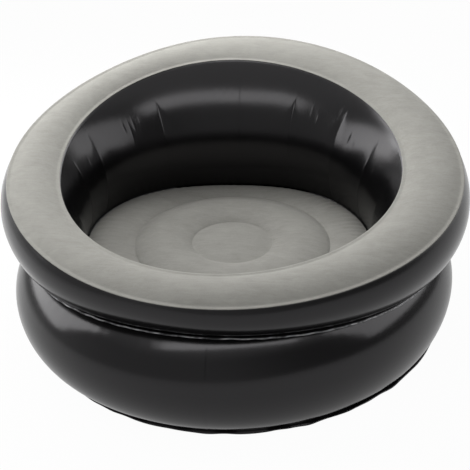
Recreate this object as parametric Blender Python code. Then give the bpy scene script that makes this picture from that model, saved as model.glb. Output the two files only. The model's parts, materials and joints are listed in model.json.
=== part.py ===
"""Round inflatable armchair: a drum base and a sloping tube welded on top of it, both of thin vinyl sheet.

The model is the inflated chair, at rest on the floor, in metres, with +Z up and the low front facing -Y.
The origin lies on the floor, at the centre of the round floor weld.

Every sheet is its own shell. A sheet is set out as a section, a line in the upright plane through the
origin at one station angle, and the sections of all stations are joined into a skin. Sheets meet in laps:
their edges lie on each other, a weld gap apart.
"""

import math

import bmesh
import bpy
from mathutils import Matrix, Vector

# Sheets and welds
WALL = 0.0004
FLOCKED_WALL = 0.0007
WELD_GAP = 0.0003
LAP = 0.008
FLOOR_FLANGE = 0.014
FLANGE_DROOP_ANGLE = 40
WAIST_FIN = 0.008

# Drum: floor weld and waist weld. The floor sheet curves up to its weld over the curve's width.
FLOOR_RADIUS = 0.481
FLOOR_CURVE_WIDTH = 0.038
WAIST_RADIUS = 0.485
WAIST_SET_BACK = 0.030
WAIST_HEIGHT = 0.188
WAIST_SADDLE = 0.0165
DRUM_BULGE_SHARE = 0.21

# Sloping tube: outer rim and mouth of the seat well
RIM_HALF_WIDTH = 0.511
RIM_HALF_DEPTH = 0.486
RIM_SET_BACK = -0.009
RIM_HEIGHT = 0.400
RIM_SADDLE = 0.0123
BACK_RISE_SHARE = 0.214
MOUTH_RADIUS = 0.388
MOUTH_SET_BACK = -0.003
MOUTH_DROP = 0.008
TUBE_BULGE_SHARE = 0.20
COVER_CROWN_SHARE = 0.09
WELL_BULGE_SHARE = 0.19
CREASE_DEPTH_SHARE = 0.16

# Seat: its weld, and the two bands inside the drum that hold it down
SEAT_RADIUS = 0.348
SEAT_SET_BACK = -0.030
SEAT_HEIGHT = 0.165
SEAT_RIM_CLEARANCE = 0.003
BAND_SET_BACK = -0.012
BAND_LAP = 0.006
OUTER_BAND_RADIUS = 0.232
INNER_BAND_RADIUS = 0.095
OUTER_CROWN_SHARE = 0.13
MIDDLE_CROWN_SHARE = 0.10
CENTRE_CROWN_SHARE = 0.05
OUTER_VENT_RADIUS = 0.014
INNER_VENT_RADIUS = 0.010

# Valve, the same in both chambers. Depths are measured inwards from the face of the sheet.
VALVE_FLANGE_RADIUS = 0.027
VALVE_FLANGE_THICKNESS = 0.0010
SOCKET_RADIUS = 0.0170
SOCKET_WALL = 0.0025
SOCKET_DEPTH = 0.014
SOCKET_LIP = 0.0030
SHEET_HOLE_CLEARANCE = 0.0005
STOPPER_RIM_OVERHANG = 0.0045
STOPPER_RIM_THICKNESS = 0.0020
STOPPER_DEPTH = 0.0100
STOPPER_CLEARANCE = 0.0003
STOPPER_DRAFT = 0.0018
THROAT_RADIUS = 0.0110
CAP_RIM_OVERHANG = 0.0040
CAP_RIM_THICKNESS = 0.0018
CAP_DEPTH = 0.0055
CAP_WALL = 0.0016
CAP_DRAFT = 0.0012
FLAP_THICKNESS = 0.0010
FLAP_OVERLAP = 0.0022
STRAP_WIDTH = 0.010
STRAP_THICKNESS = 0.0010
STRAP_LENGTH = 0.0020
LUG_LENGTH = 0.0028
HINGE_GAP = 0.0003
JOIN_OVERLAP = 0.0003
FINGER_TAB_WIDTH = 0.008

# Places round the chair, in degrees from the middle of the back, clockwise from above. At two of them the
# halves of the well's wall meet in a seam. At each of the others the wall has a crease, and a tie stands
# behind it inside the tube. The stations divide the bays between these places evenly.
BAY_ANGLES = (-2, 24, 47.5, 69, 90, 112, 135, 158, 181, 204, 227, 250, 272, 287, 305.5, 320)
BACK_SEAM_NUMBER = 0
FRONT_SEAM_NUMBER = 8
BAY_STEPS = 4

# Counts. A valve lies on the facet after the station of its number, counted from the middle of the back.
BULGE_STEPS = 5
CROWN_STEPS = 3
FLOOR_CURVE_STEPS = 3
BAND_STATION_STEPS = 2
DRUM_VALVE_NUMBER = -1
TUBE_VALVE_NUMBER = 0
VALVE_TURN_ANGLE = 90
OUTER_VENTS = 6
INNER_VENTS = 4
VENT_SIDES = 12
VALVE_SIDES = 24

# Spacing of the middles of two vinyl sheets, and of a vinyl and a flocked one, welded face to face
PLY = WALL + WELD_GAP
FLOCKED_PLY = (WALL + FLOCKED_WALL) / 2 + WELD_GAP
OUTWARD = Vector((1.0, 0.0))

# The floor flange droops until its edge rests on the floor, and that sets the height of the floor weld
DROOP = math.radians(FLANGE_DROOP_ANGLE)
DROOPING = Vector((math.cos(DROOP), -math.sin(DROOP)))
FLANGE_PLY_RISE = PLY / DROOPING.x
FLOOR_LEVEL = WALL / 2
UNDER_WELD_HEIGHT = FLOOR_LEVEL - FLOOR_FLANGE * DROOPING.y


def station_angles():
    """Angle of every station from +X, from the middle of the back round and clockwise from above."""
    ends = BAY_ANGLES[1:] + (BAY_ANGLES[0] + 360,)
    return [
        math.radians(90 - start - (end - start) * step / BAY_STEPS)
        for start, end in zip(BAY_ANGLES, ends)
        for step in range(BAY_STEPS)
    ]


STATION_ANGLES = station_angles()
STATIONS = len(STATION_ANGLES)
BACK_SEAM = BACK_SEAM_NUMBER * BAY_STEPS
FRONT_SEAM = FRONT_SEAM_NUMBER * BAY_STEPS
TIE_STATIONS = [number for number in range(0, STATIONS, BAY_STEPS) if number not in (BACK_SEAM, FRONT_SEAM)]

VINYL = ("black_vinyl", (0.012, 0.012, 0.013), 0.38)
FLOCK = ("grey_flock", (0.33, 0.33, 0.31), 0.95)
CLEAR_VINYL = ("band_vinyl", (0.05, 0.05, 0.052), 0.45)
MOULDED = ("moulded_vinyl", (0.016, 0.016, 0.017), 0.5)
SILICONE = ("flap_film", (0.45, 0.46, 0.47), 0.35)


def material(finish):
    name, colour, roughness = finish
    found = bpy.data.materials.get(name)
    if found:
        return found
    made = bpy.data.materials.new(name)
    made.use_nodes = True
    shader = made.node_tree.nodes["Principled BSDF"]
    shader.inputs["Base Color"].default_value = (*colour, 1.0)
    shader.inputs["Roughness"].default_value = roughness
    shader.inputs["Metallic"].default_value = 0.0
    made.diffuse_color = (*colour, 1.0)
    return made


def new_object(name, bm, finish, smooth_angle=math.radians(35)):
    mesh = bpy.data.meshes.new(name)
    bm.to_mesh(mesh)
    bm.free()
    mesh.shade_smooth()
    mesh.set_sharp_from_angle(angle=smooth_angle)
    made = bpy.data.objects.new(name, mesh)
    bpy.context.scene.collection.objects.link(made)
    made.data.materials.append(material(finish))
    return made


def boolean(target, tool, operation):
    """Cuts tool out of target, or joins it on, and keeps the tool as a hidden guide."""
    modifier = target.modifiers.new(f"{operation.lower()} {tool.name}", "BOOLEAN")
    modifier.object = tool
    modifier.operation = operation
    modifier.solver = "EXACT"
    tool.hide_render = True
    tool.display_type = "WIRE"


# Sections of the sheets

def weld_ring(half_width, half_depth, set_back, height, rise_share=0.0, saddle=0.0):
    """Radius and height of a weld at every station: an ellipse, set back from the origin, on a plane that
    rises towards the back, with its sides lowered and its front and back raised by the saddle."""
    ring = []
    for angle in STATION_ANGLES:
        across, along = math.cos(angle), math.sin(angle)
        square = (across / half_width) ** 2 + (along / half_depth) ** 2
        lean = along * set_back / half_depth**2
        rest = 1 - (set_back / half_depth) ** 2
        radius = (lean + math.sqrt(lean**2 + square * rest)) / square
        level = height + rise_share * radius * along - saddle * math.cos(2 * angle)
        ring.append(Vector((radius, level)))
    return ring


def bow(start, end, share, steps):
    """Points between start and end on a circular arc that bulges to the right of the way from start to
    end, by share times the straight distance. Both ends are left out."""
    chord = end - start
    right = Vector((chord.y, -chord.x))
    half_turn = 2 * math.atan(2 * share)
    radius_share = 0.5 / math.sin(half_turn)
    points = []
    for number in range(1, steps):
        turn = half_turn * (2 * number / steps - 1)
        along = 0.5 + radius_share * math.sin(turn)
        aside = radius_share * (math.cos(turn) - math.cos(half_turn))
        points.append(start + chord * along + right * aside)
    return points


def place(point, angle):
    return Vector((point.x * math.cos(angle), point.x * math.sin(angle), point.y))


def sheet(name, sections, thickness, finish, ends_on_axis=False, angles=STATION_ANGLES):
    """A closed skin through the sections of all stations, thickened to both sides of their lines. Where
    the sections end on the axis, their last points are one."""
    bm = bmesh.new()
    columns = []
    last = len(sections[0]) - 1
    pole = bm.verts.new(place(sections[0][last], 0.0)) if ends_on_axis else None
    for angle, section in zip(angles, sections):
        inner = section[:-1] if ends_on_axis else section
        column = [bm.verts.new(place(point, angle)) for point in inner]
        columns.append(column + [pole] if ends_on_axis else column)
    for here, following in zip(columns, columns[1:] + columns[:1]):
        for row in range(last):
            corners = [here[row], following[row], following[row + 1], here[row + 1]]
            if corners[2] is corners[3]:
                corners.pop()
            bm.faces.new(corners)
    return thickened(new_object(name, bm, finish), thickness)


def open_sheet(name, columns, thickness, finish):
    """A skin through columns of points, from the first column to the last, thickened to both sides."""
    bm = bmesh.new()
    columns = [[bm.verts.new(point) for point in column] for column in columns]
    for here, following in zip(columns, columns[1:]):
        for row in range(len(here) - 1):
            bm.faces.new((here[row], following[row], following[row + 1], here[row + 1]))
    return thickened(new_object(name, bm, finish), thickness)


def thickened(made, thickness):
    modifier = made.modifiers.new("sheet thickness", "SOLIDIFY")
    modifier.thickness = thickness
    modifier.offset = 0.0
    modifier.use_even_offset = True
    return made


def crease_shares():
    """How far each station of the well's wall is drawn back, from 0 to 1: the ties hold the wall back in
    upright creases, and it bulges freely between them."""
    return [1.0 if number in TIE_STATIONS else 0.0 for number in range(STATIONS)]


FLOOR_WELD = weld_ring(FLOOR_RADIUS, FLOOR_RADIUS, 0.0, UNDER_WELD_HEIGHT + FLANGE_PLY_RISE)
WAIST_WELD = weld_ring(WAIST_RADIUS, WAIST_RADIUS, WAIST_SET_BACK, WAIST_HEIGHT, saddle=WAIST_SADDLE)
RIM_WELD = weld_ring(
    RIM_HALF_WIDTH, RIM_HALF_DEPTH, RIM_SET_BACK, RIM_HEIGHT, BACK_RISE_SHARE, RIM_SADDLE
)
MOUTH_WELD = weld_ring(
    MOUTH_RADIUS, MOUTH_RADIUS, MOUTH_SET_BACK, RIM_HEIGHT - MOUTH_DROP, BACK_RISE_SHARE, RIM_SADDLE
)
SEAT_WELD = weld_ring(SEAT_RADIUS, SEAT_RADIUS, SEAT_SET_BACK, SEAT_HEIGHT)


def cover_directions(rim, mouth):
    """Unit ways along the cover from the rim to the mouth, and square to it into the tube."""
    inward = (mouth - rim).normalized()
    return inward, Vector((-inward.y, inward.x))


def floor_sheet():
    """Flat on the floor, curved up to the weld from a tangent, with its flange drooping to the floor."""
    sections = []
    for weld in FLOOR_WELD:
        under = Vector((weld.x, UNDER_WELD_HEIGHT))
        contact = Vector((weld.x - FLOOR_CURVE_WIDTH, FLOOR_LEVEL))
        rise = under - contact
        share = math.tan(math.atan2(rise.y, rise.x) / 2) / 2
        curve = bow(contact, under, share, FLOOR_CURVE_STEPS)
        middle = Vector((0.0, FLOOR_LEVEL))
        sections.append([under + DROOPING * FLOOR_FLANGE, under, *reversed(curve), contact, middle])
    return sheet("floor_sheet", sections, WALL, VINYL, ends_on_axis=True)


def drum_side_sections():
    sections = []
    for low, waist in zip(FLOOR_WELD, WAIST_WELD):
        high = waist - Vector((0.0, PLY))
        curve = bow(low, high, DRUM_BULGE_SHARE, BULGE_STEPS)
        sections.append([low + DROOPING * FLOOR_FLANGE, low, *curve, high, high + OUTWARD * WAIST_FIN])
    return sections


def tube_side_sections():
    sections = []
    for waist, rim, mouth in zip(WAIST_WELD, RIM_WELD, MOUTH_WELD):
        inward, into_tube = cover_directions(rim, mouth)
        low = waist + Vector((0.0, PLY))
        high = rim + into_tube * FLOCKED_PLY
        curve = bow(low, high, TUBE_BULGE_SHARE, BULGE_STEPS)
        sections.append([low + OUTWARD * WAIST_FIN, low, *curve, high, high + inward * LAP])
    return sections


def cover_sections():
    sections = []
    for rim, mouth in zip(RIM_WELD, MOUTH_WELD):
        inward, _ = cover_directions(rim, mouth)
        outer, inner = rim + inward * LAP, mouth - inward * LAP
        sections.append([rim, outer, *bow(outer, inner, COVER_CROWN_SHARE, CROWN_STEPS), inner, mouth])
    return sections


def well_wall_sections():
    sections = []
    for rim, mouth, foot, crease in zip(RIM_WELD, MOUTH_WELD, SEAT_WELD, crease_shares()):
        inward, into_tube = cover_directions(rim, mouth)
        high = mouth + into_tube * FLOCKED_PLY
        share = WELL_BULGE_SHARE * (1 - CREASE_DEPTH_SHARE * crease)
        curve = bow(high, foot, share, BULGE_STEPS)
        sections.append([high - inward * LAP, high, *curve, foot, foot - OUTWARD * LAP])
    return sections


def toward(point, goal, distance):
    return point + (goal - point).normalized() * distance


def well_panel(name, first, last, sections):
    """The well's wall from one seam to the other. Its edges stay half a weld gap off the seams' middles."""
    columns = [
        [place(point, STATION_ANGLES[number % STATIONS]) for point in sections[number % STATIONS]]
        for number in range(first, last + 1)
    ]
    for edge, neighbour in ((0, 1), (-1, -2)):
        columns[edge] = [
            toward(point, goal, WELD_GAP / 2) for point, goal in zip(columns[edge], columns[neighbour])
        ]
    return open_sheet(name, columns, WALL, VINYL)


def behind(section, distance):
    """The line at a distance from the tube side of a bulged wall, past its inner arc points. The inside of
    the tube lies to the left of both walls' sections."""
    line = []
    for row in range(2, 1 + BULGE_STEPS):
        along = (section[row + 1] - section[row - 1]).normalized()
        line.append(section[row] + Vector((-along.y, along.x)) * distance)
    return line


def seam_strip(name, station, sections):
    """A strip that is welded behind the seam of two panels, a lap wide to each side of it."""
    before, middle, after = [
        [place(point, STATION_ANGLES[number % STATIONS]) for point in behind(sections[number % STATIONS], PLY)]
        for number in (station - 1, station, station + 1)
    ]
    columns = [
        [toward(point, goal, LAP) for point, goal in zip(middle, before)],
        middle,
        [toward(point, goal, LAP) for point, goal in zip(middle, after)],
    ]
    return open_sheet(name, columns, WALL, CLEAR_VINYL)


def wall_tie(name, station, well_section, tube_section):
    """An upright web inside the tube, from the well's wall to the tube's outer side. It stops short of the
    cover and the divider, so air passes round it."""
    angle = STATION_ANGLES[station]
    gap = WALL / 2 + WELD_GAP
    inner = [place(point, angle) for point in behind(well_section, gap)]
    outer = [place(point, angle) for point in reversed(behind(tube_section, gap))]
    return open_sheet(name, [inner, outer], WALL, CLEAR_VINYL)


def divider_sections():
    sections = []
    for foot, waist in zip(SEAT_WELD, WAIST_WELD):
        inner = foot - Vector((0.0, PLY))
        sections.append([inner - OUTWARD * LAP, inner, waist, waist + OUTWARD * WAIST_FIN])
    return sections


def seat_sections():
    """From the rim to the middle: the rim lap, then three crowned zones with a band weld between them."""
    level = SEAT_HEIGHT + FLOCKED_PLY
    outer_band = weld_ring(OUTER_BAND_RADIUS, OUTER_BAND_RADIUS, BAND_SET_BACK, level)
    inner_band = weld_ring(INNER_BAND_RADIUS, INNER_BAND_RADIUS, BAND_SET_BACK, level)
    sections = []
    for weld, outer, inner in zip(SEAT_WELD, outer_band, inner_band):
        rim = Vector((weld.x, level))
        lap_end = rim - OUTWARD * LAP
        outer_lap = outer + OUTWARD * BAND_LAP
        inner_lap = inner + OUTWARD * BAND_LAP
        middle_rise = CENTRE_CROWN_SHARE * 2 * INNER_BAND_RADIUS
        sections.append([
            rim - OUTWARD * SEAT_RIM_CLEARANCE,
            lap_end,
            *bow(lap_end, outer_lap, OUTER_CROWN_SHARE, CROWN_STEPS),
            outer_lap,
            outer,
            *bow(outer, inner_lap, MIDDLE_CROWN_SHARE, CROWN_STEPS),
            inner_lap,
            inner,
            Vector((0.0, level + middle_rise)),
        ])
    return sections


def band(name, radius, vents, vent_radius):
    """A band that ties the seat to the floor sheet, with vents that let the drum fill as one chamber."""
    low, high = FLOOR_LEVEL + PLY, SEAT_HEIGHT
    sections = []
    for foot in weld_ring(radius, radius, BAND_SET_BACK, low)[::BAND_STATION_STEPS]:
        head = Vector((foot.x, high))
        sections.append([foot + OUTWARD * BAND_LAP, foot, head, head + OUTWARD * BAND_LAP])
    made = sheet(name, sections, WALL, CLEAR_VINYL, angles=STATION_ANGLES[::BAND_STATION_STEPS])
    bm = bmesh.new()
    for number in range(vents):
        turn = Matrix.Rotation(2 * math.pi * (number + 0.5) / vents, 4, "Z")
        centre = Vector((radius, 0.0, 0.0))
        lie_down = Matrix.Translation(centre) @ Matrix.Rotation(math.pi / 2, 4, "Y")
        bmesh.ops.create_cone(
            bm, cap_ends=True, segments=VENT_SIDES, radius1=vent_radius, radius2=vent_radius,
            depth=4 * BAND_LAP, matrix=turn @ lie_down,
        )
    cutter = new_object(f"{name}_vents", bm, CLEAR_VINYL)
    cutter.location = (0.0, BAND_SET_BACK, (low + high) / 2)
    boolean(made, cutter, "DIFFERENCE")
    return made


# Valves

def turned(name, profile, finish, sides=VALVE_SIDES):
    """A turned ring or disc: a closed profile of radius and height, spun round the Z axis."""
    bm = bmesh.new()
    on_axis = [point.x == 0.0 for point in profile]
    verts = [bm.verts.new((point.x, 0.0, point.y)) for point in profile]
    edges = [
        bm.edges.new((verts[i], verts[(i + 1) % len(verts)]))
        for i in range(len(verts))
        if not (on_axis[i] and on_axis[(i + 1) % len(verts)])
    ]
    bmesh.ops.spin(
        bm, geom=verts + edges, cent=(0.0, 0.0, 0.0), axis=(0.0, 0.0, 1.0), angle=2 * math.pi, steps=sides,
        use_merge=True,
    )
    bmesh.ops.remove_doubles(bm, verts=bm.verts, dist=WALL / 100)
    bmesh.ops.recalc_face_normals(bm, faces=bm.faces)
    return new_object(name, bm, finish)


def block(name, low, high, finish):
    """A block between two corners, for a strap or a lug."""
    bm = bmesh.new()
    middle = (Vector(low) + Vector(high)) / 2
    size = Vector(high) - Vector(low)
    bmesh.ops.create_cube(bm, size=1.0, matrix=Matrix.Translation(middle) @ Matrix.Diagonal((*size, 1.0)))
    return new_object(name, bm, finish)


# Levels of the valve above the face of the sheet, and its radii, each worked out from its neighbour
FLANGE_TOP = WELD_GAP + VALVE_FLANGE_THICKNESS
SOCKET_TOP = FLANGE_TOP + SOCKET_LIP
RIM_UNDERSIDE = SOCKET_TOP + WELD_GAP
RIM_TOP = RIM_UNDERSIDE + STOPPER_RIM_THICKNESS
STOPPER_RADIUS = SOCKET_RADIUS - STOPPER_CLEARANCE
STOPPER_RIM_RADIUS = SOCKET_RADIUS + STOPPER_RIM_OVERHANG
STOPPER_BOTTOM = RIM_UNDERSIDE - STOPPER_DEPTH
STOPPER_END_RADIUS = STOPPER_RADIUS - STOPPER_DRAFT
CAP_UNDERSIDE = RIM_TOP + WELD_GAP
CAP_TOP = CAP_UNDERSIDE + CAP_RIM_THICKNESS
CAP_RADIUS = THROAT_RADIUS - STOPPER_CLEARANCE
CAP_RIM_RADIUS = THROAT_RADIUS + CAP_RIM_OVERHANG
CAP_BOTTOM = CAP_UNDERSIDE - CAP_DEPTH
FLAP_TOP = STOPPER_BOTTOM - WELD_GAP
FLAP_RADIUS = THROAT_RADIUS + FLAP_OVERLAP
STOPPER_HINGE = (-(STOPPER_RIM_RADIUS + STRAP_LENGTH + HINGE_GAP / 2), RIM_UNDERSIDE + STRAP_THICKNESS)
CAP_HINGE = (CAP_RIM_RADIUS + STRAP_LENGTH + HINGE_GAP / 2, CAP_UNDERSIDE + STRAP_THICKNESS)
FLAP_HINGE = (FLAP_RADIUS + HINGE_GAP / 2, FLAP_TOP - FLAP_THICKNESS)


def valve_body(name):
    """Flange that is welded on the sheet, the socket that hangs into the chamber, and the hinge lug."""
    outer = SOCKET_RADIUS + SOCKET_WALL
    made = turned(name, [
        Vector((SOCKET_RADIUS, SOCKET_TOP)),
        Vector((outer, SOCKET_TOP)),
        Vector((outer, FLANGE_TOP)),
        Vector((VALVE_FLANGE_RADIUS, FLANGE_TOP)),
        Vector((VALVE_FLANGE_RADIUS, WELD_GAP)),
        Vector((outer, WELD_GAP)),
        Vector((outer, -SOCKET_DEPTH)),
        Vector((SOCKET_RADIUS, -SOCKET_DEPTH)),
    ], MOULDED)
    near = STOPPER_HINGE[0] - HINGE_GAP / 2
    lug = block(
        f"{name}_lug",
        (-STRAP_WIDTH / 2, near - LUG_LENGTH, FLANGE_TOP - JOIN_OVERLAP),
        (STRAP_WIDTH / 2, near, STOPPER_HINGE[1]),
        MOULDED,
    )
    boolean(made, lug, "UNION")
    return made, [lug]


def valve_stopper(name):
    """Large stopper for letting the air out, with the inflation throat through it, its strap and lugs."""
    made = turned(name, [
        Vector((THROAT_RADIUS, RIM_TOP)),
        Vector((STOPPER_RIM_RADIUS, RIM_TOP)),
        Vector((STOPPER_RIM_RADIUS, RIM_UNDERSIDE)),
        Vector((STOPPER_RADIUS, RIM_UNDERSIDE)),
        Vector((STOPPER_RADIUS, SOCKET_TOP)),
        Vector((STOPPER_END_RADIUS, STOPPER_BOTTOM)),
        Vector((THROAT_RADIUS, STOPPER_BOTTOM)),
    ], MOULDED)
    strap = block(
        f"{name}_strap",
        (-STRAP_WIDTH / 2, STOPPER_HINGE[0] + HINGE_GAP / 2, RIM_UNDERSIDE),
        (STRAP_WIDTH / 2, -(STOPPER_RIM_RADIUS - 2 * STRAP_THICKNESS), STOPPER_HINGE[1]),
        MOULDED,
    )
    cap_lug = block(
        f"{name}_cap_lug",
        (-STRAP_WIDTH / 2, CAP_HINGE[0] + HINGE_GAP / 2, RIM_TOP - JOIN_OVERLAP),
        (STRAP_WIDTH / 2, CAP_HINGE[0] + HINGE_GAP / 2 + LUG_LENGTH, CAP_HINGE[1]),
        MOULDED,
    )
    flap_lug = block(
        f"{name}_flap_lug",
        (-STRAP_WIDTH / 4, FLAP_HINGE[0] + HINGE_GAP / 2, FLAP_TOP - FLAP_THICKNESS),
        (STRAP_WIDTH / 4, STOPPER_END_RADIUS - HINGE_GAP, STOPPER_BOTTOM + JOIN_OVERLAP),
        MOULDED,
    )
    for tool in (strap, cap_lug, flap_lug):
        boolean(made, tool, "UNION")
    return made, [strap, cap_lug, flap_lug]


def valve_cap(name):
    """Small cap that closes the throat: a cup with a rim, a strap and a finger tab."""
    made = turned(name, [
        Vector((0.0, CAP_TOP)),
        Vector((CAP_RIM_RADIUS, CAP_TOP)),
        Vector((CAP_RIM_RADIUS, CAP_UNDERSIDE)),
        Vector((CAP_RADIUS, CAP_UNDERSIDE)),
        Vector((CAP_RADIUS - CAP_DRAFT, CAP_BOTTOM)),
        Vector((CAP_RADIUS - CAP_DRAFT - CAP_WALL, CAP_BOTTOM)),
        Vector((CAP_RADIUS - CAP_DRAFT - CAP_WALL, CAP_UNDERSIDE)),
        Vector((0.0, CAP_UNDERSIDE)),
    ], MOULDED)
    strap = block(
        f"{name}_strap",
        (-STRAP_WIDTH / 2, CAP_RIM_RADIUS - 2 * STRAP_THICKNESS, CAP_UNDERSIDE),
        (STRAP_WIDTH / 2, CAP_HINGE[0] - HINGE_GAP / 2, CAP_HINGE[1]),
        MOULDED,
    )
    tab = block(
        f"{name}_tab",
        (-FINGER_TAB_WIDTH / 2, -(CAP_RIM_RADIUS + STRAP_LENGTH), CAP_TOP - STRAP_THICKNESS),
        (FINGER_TAB_WIDTH / 2, -(CAP_RIM_RADIUS - 2 * STRAP_THICKNESS), CAP_TOP - STRAP_THICKNESS / 4),
        MOULDED,
    )
    for tool in (strap, tab):
        boolean(made, tool, "UNION")
    return made, [strap, tab]


def valve_flap(name):
    """Check flap under the throat. It swings into the chamber, and the air behind it shuts it."""
    made = turned(name, [
        Vector((0.0, FLAP_TOP)),
        Vector((FLAP_RADIUS, FLAP_TOP)),
        Vector((FLAP_RADIUS, FLAP_TOP - FLAP_THICKNESS)),
        Vector((0.0, FLAP_TOP - FLAP_THICKNESS)),
    ], SILICONE)
    return made, []


def valve_frame(sections, station):
    """Place of a valve on the facet after a station, in the middle of the bulge: Z out of the chamber, with
    the origin on the facet's outer face, and Y turned from up the sheet by the valve's turn."""
    low, high = 1 + BULGE_STEPS // 2, 2 + BULGE_STEPS // 2
    corners = [
        place(sections[number % STATIONS][row], STATION_ANGLES[number % STATIONS])
        for number in (station, station + 1)
        for row in (low, high)
    ]
    middle = sum(corners, Vector()) / 4
    out = (corners[3] - corners[0]).cross(corners[1] - corners[2]).normalized()
    if out.dot(Vector((middle.x, middle.y, 0.0))) < 0:
        out.negate()
    level = Vector((0.0, 0.0, 1.0)).cross(out).normalized()
    up = out.cross(level)
    lift = max((corner - middle).dot(out) for corner in corners) + WALL / 2
    facing = Matrix((level, up, out)).transposed().to_4x4()
    turn = Matrix.Rotation(math.radians(VALVE_TURN_ANGLE), 4, "Z")
    return Matrix.Translation(middle + out * lift) @ facing @ turn


def hinge_empty(name, frame, hinge, parent):
    """An empty on a hinge's axis, which is level and crosses the valve's own upright plane at hinge."""
    empty = bpy.data.objects.new(name, None)
    bpy.context.scene.collection.objects.link(empty)
    place_on(empty, frame @ Matrix.Translation((0.0, hinge[0], hinge[1])), parent)
    return empty


def place_on(made, world, parent=None):
    """Puts an object at a world matrix, under a parent that may itself be placed."""
    if parent:
        made.parent = parent
        made.matrix_parent_inverse = parent_world(parent).inverted()
    made.matrix_basis = world


def parent_world(made):
    if not made.parent:
        return made.matrix_basis.copy()
    return parent_world(made.parent) @ made.matrix_parent_inverse @ made.matrix_basis


def add_valve(prefix, skin, sections, station):
    """A valve on a sheet: the sheet's hole, the body, the stopper hinged on the body, and the cap and the
    flap hinged on the stopper."""
    frame = valve_frame(sections, station)
    hole_radius = SOCKET_RADIUS + SOCKET_WALL + SHEET_HOLE_CLEARANCE
    bm = bmesh.new()
    bmesh.ops.create_cone(
        bm, cap_ends=True, segments=VALVE_SIDES, radius1=hole_radius, radius2=hole_radius,
        depth=2 * SOCKET_DEPTH,
    )
    cutter = new_object(f"{prefix}_valve_hole", bm, MOULDED)
    place_on(cutter, frame)
    boolean(skin, cutter, "DIFFERENCE")

    stopper_hinge = hinge_empty(f"{prefix}_stopper_hinge", frame, STOPPER_HINGE, None)
    cap_hinge = hinge_empty(f"{prefix}_cap_hinge", frame, CAP_HINGE, stopper_hinge)
    flap_hinge = hinge_empty(f"{prefix}_flap_hinge", frame, FLAP_HINGE, stopper_hinge)
    for make, part, parent in (
        (valve_body, "body", None),
        (valve_stopper, "stopper", stopper_hinge),
        (valve_cap, "cap", cap_hinge),
        (valve_flap, "flap", flap_hinge),
    ):
        made, tools = make(f"{prefix}_valve_{part}")
        for placed in [made, *tools]:
            place_on(placed, frame, parent)


def build():
    for existing in list(bpy.data.objects):
        bpy.data.objects.remove(existing)
    floor_sheet()
    drum_sections, tube_sections = drum_side_sections(), tube_side_sections()
    drum_side = sheet("drum_side", drum_sections, WALL, VINYL)
    sheet("chamber_divider", divider_sections(), WALL, VINYL)
    tube_side = sheet("tube_side", tube_sections, WALL, VINYL)
    sheet("rim_cover", cover_sections(), FLOCKED_WALL, FLOCK)
    well_sections = well_wall_sections()
    well_panel("well_wall_right", BACK_SEAM, FRONT_SEAM, well_sections)
    well_panel("well_wall_left", FRONT_SEAM, BACK_SEAM + STATIONS, well_sections)
    seam_strip("back_seam_strip", BACK_SEAM, well_sections)
    seam_strip("front_seam_strip", FRONT_SEAM, well_sections)
    for number, station in enumerate(TIE_STATIONS, start=1):
        wall_tie(f"wall_tie_{number:02d}", station, well_sections[station], tube_sections[station])
    sheet("seat_top", seat_sections(), FLOCKED_WALL, FLOCK, ends_on_axis=True)
    band("outer_seat_band", OUTER_BAND_RADIUS, OUTER_VENTS, OUTER_VENT_RADIUS)
    band("inner_seat_band", INNER_BAND_RADIUS, INNER_VENTS, INNER_VENT_RADIUS)
    add_valve("drum", drum_side, drum_sections, DRUM_VALVE_NUMBER)
    add_valve("tube", tube_side, tube_sections, TUBE_VALVE_NUMBER)


build()
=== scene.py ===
"""Round inflatable armchair: its welded sheets, their creases, ripples and seams, and its valves.

Every sheet is a surface over two parameters: the angle round the chair and the way along a section
of the sheet, in the upright plane at that angle. Sizes are in metres, in the frame's axes: +Z up,
the low front towards -Y. Angles round the chair are counted from the middle of the back, clockwise
from above.
"""

import json

import bpy
import numpy as np
from mathutils import Matrix, Vector


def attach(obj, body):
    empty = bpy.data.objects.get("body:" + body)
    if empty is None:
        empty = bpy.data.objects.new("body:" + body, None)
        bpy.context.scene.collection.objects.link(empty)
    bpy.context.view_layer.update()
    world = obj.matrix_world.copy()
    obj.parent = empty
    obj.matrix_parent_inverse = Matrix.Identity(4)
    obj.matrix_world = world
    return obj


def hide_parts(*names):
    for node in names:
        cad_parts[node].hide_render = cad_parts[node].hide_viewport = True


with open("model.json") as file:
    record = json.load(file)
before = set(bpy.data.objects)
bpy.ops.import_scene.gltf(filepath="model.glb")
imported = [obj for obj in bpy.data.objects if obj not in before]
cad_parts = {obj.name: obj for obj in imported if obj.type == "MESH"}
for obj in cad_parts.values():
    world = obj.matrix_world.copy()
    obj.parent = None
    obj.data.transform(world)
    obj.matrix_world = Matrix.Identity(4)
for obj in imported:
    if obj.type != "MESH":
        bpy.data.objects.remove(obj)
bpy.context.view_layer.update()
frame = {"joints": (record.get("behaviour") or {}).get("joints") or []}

# Sheets and welds
WALL = 0.0004
FLOCKED_WALL = 0.0007
WELD_GAP = 0.0003
LAP = 0.008
FLOOR_FLANGE = 0.014
FLANGE_DROOP_ANGLE = 40
WAIST_FIN = 0.0105
FIN_EDGE = 0.0022

# Drum
FLOOR_RADIUS = 0.481
FLOOR_CURVE_WIDTH = 0.038
WAIST_RADIUS = 0.485
WAIST_SET_BACK = 0.030
WAIST_HEIGHT = 0.188
WAIST_SADDLE = 0.0165
DRUM_BULGE_SHARE = 0.21
DRUM_FULLNESS = (0.80, 0.15)
TUBE_FULLNESS = (0.45, -0.35)

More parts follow.
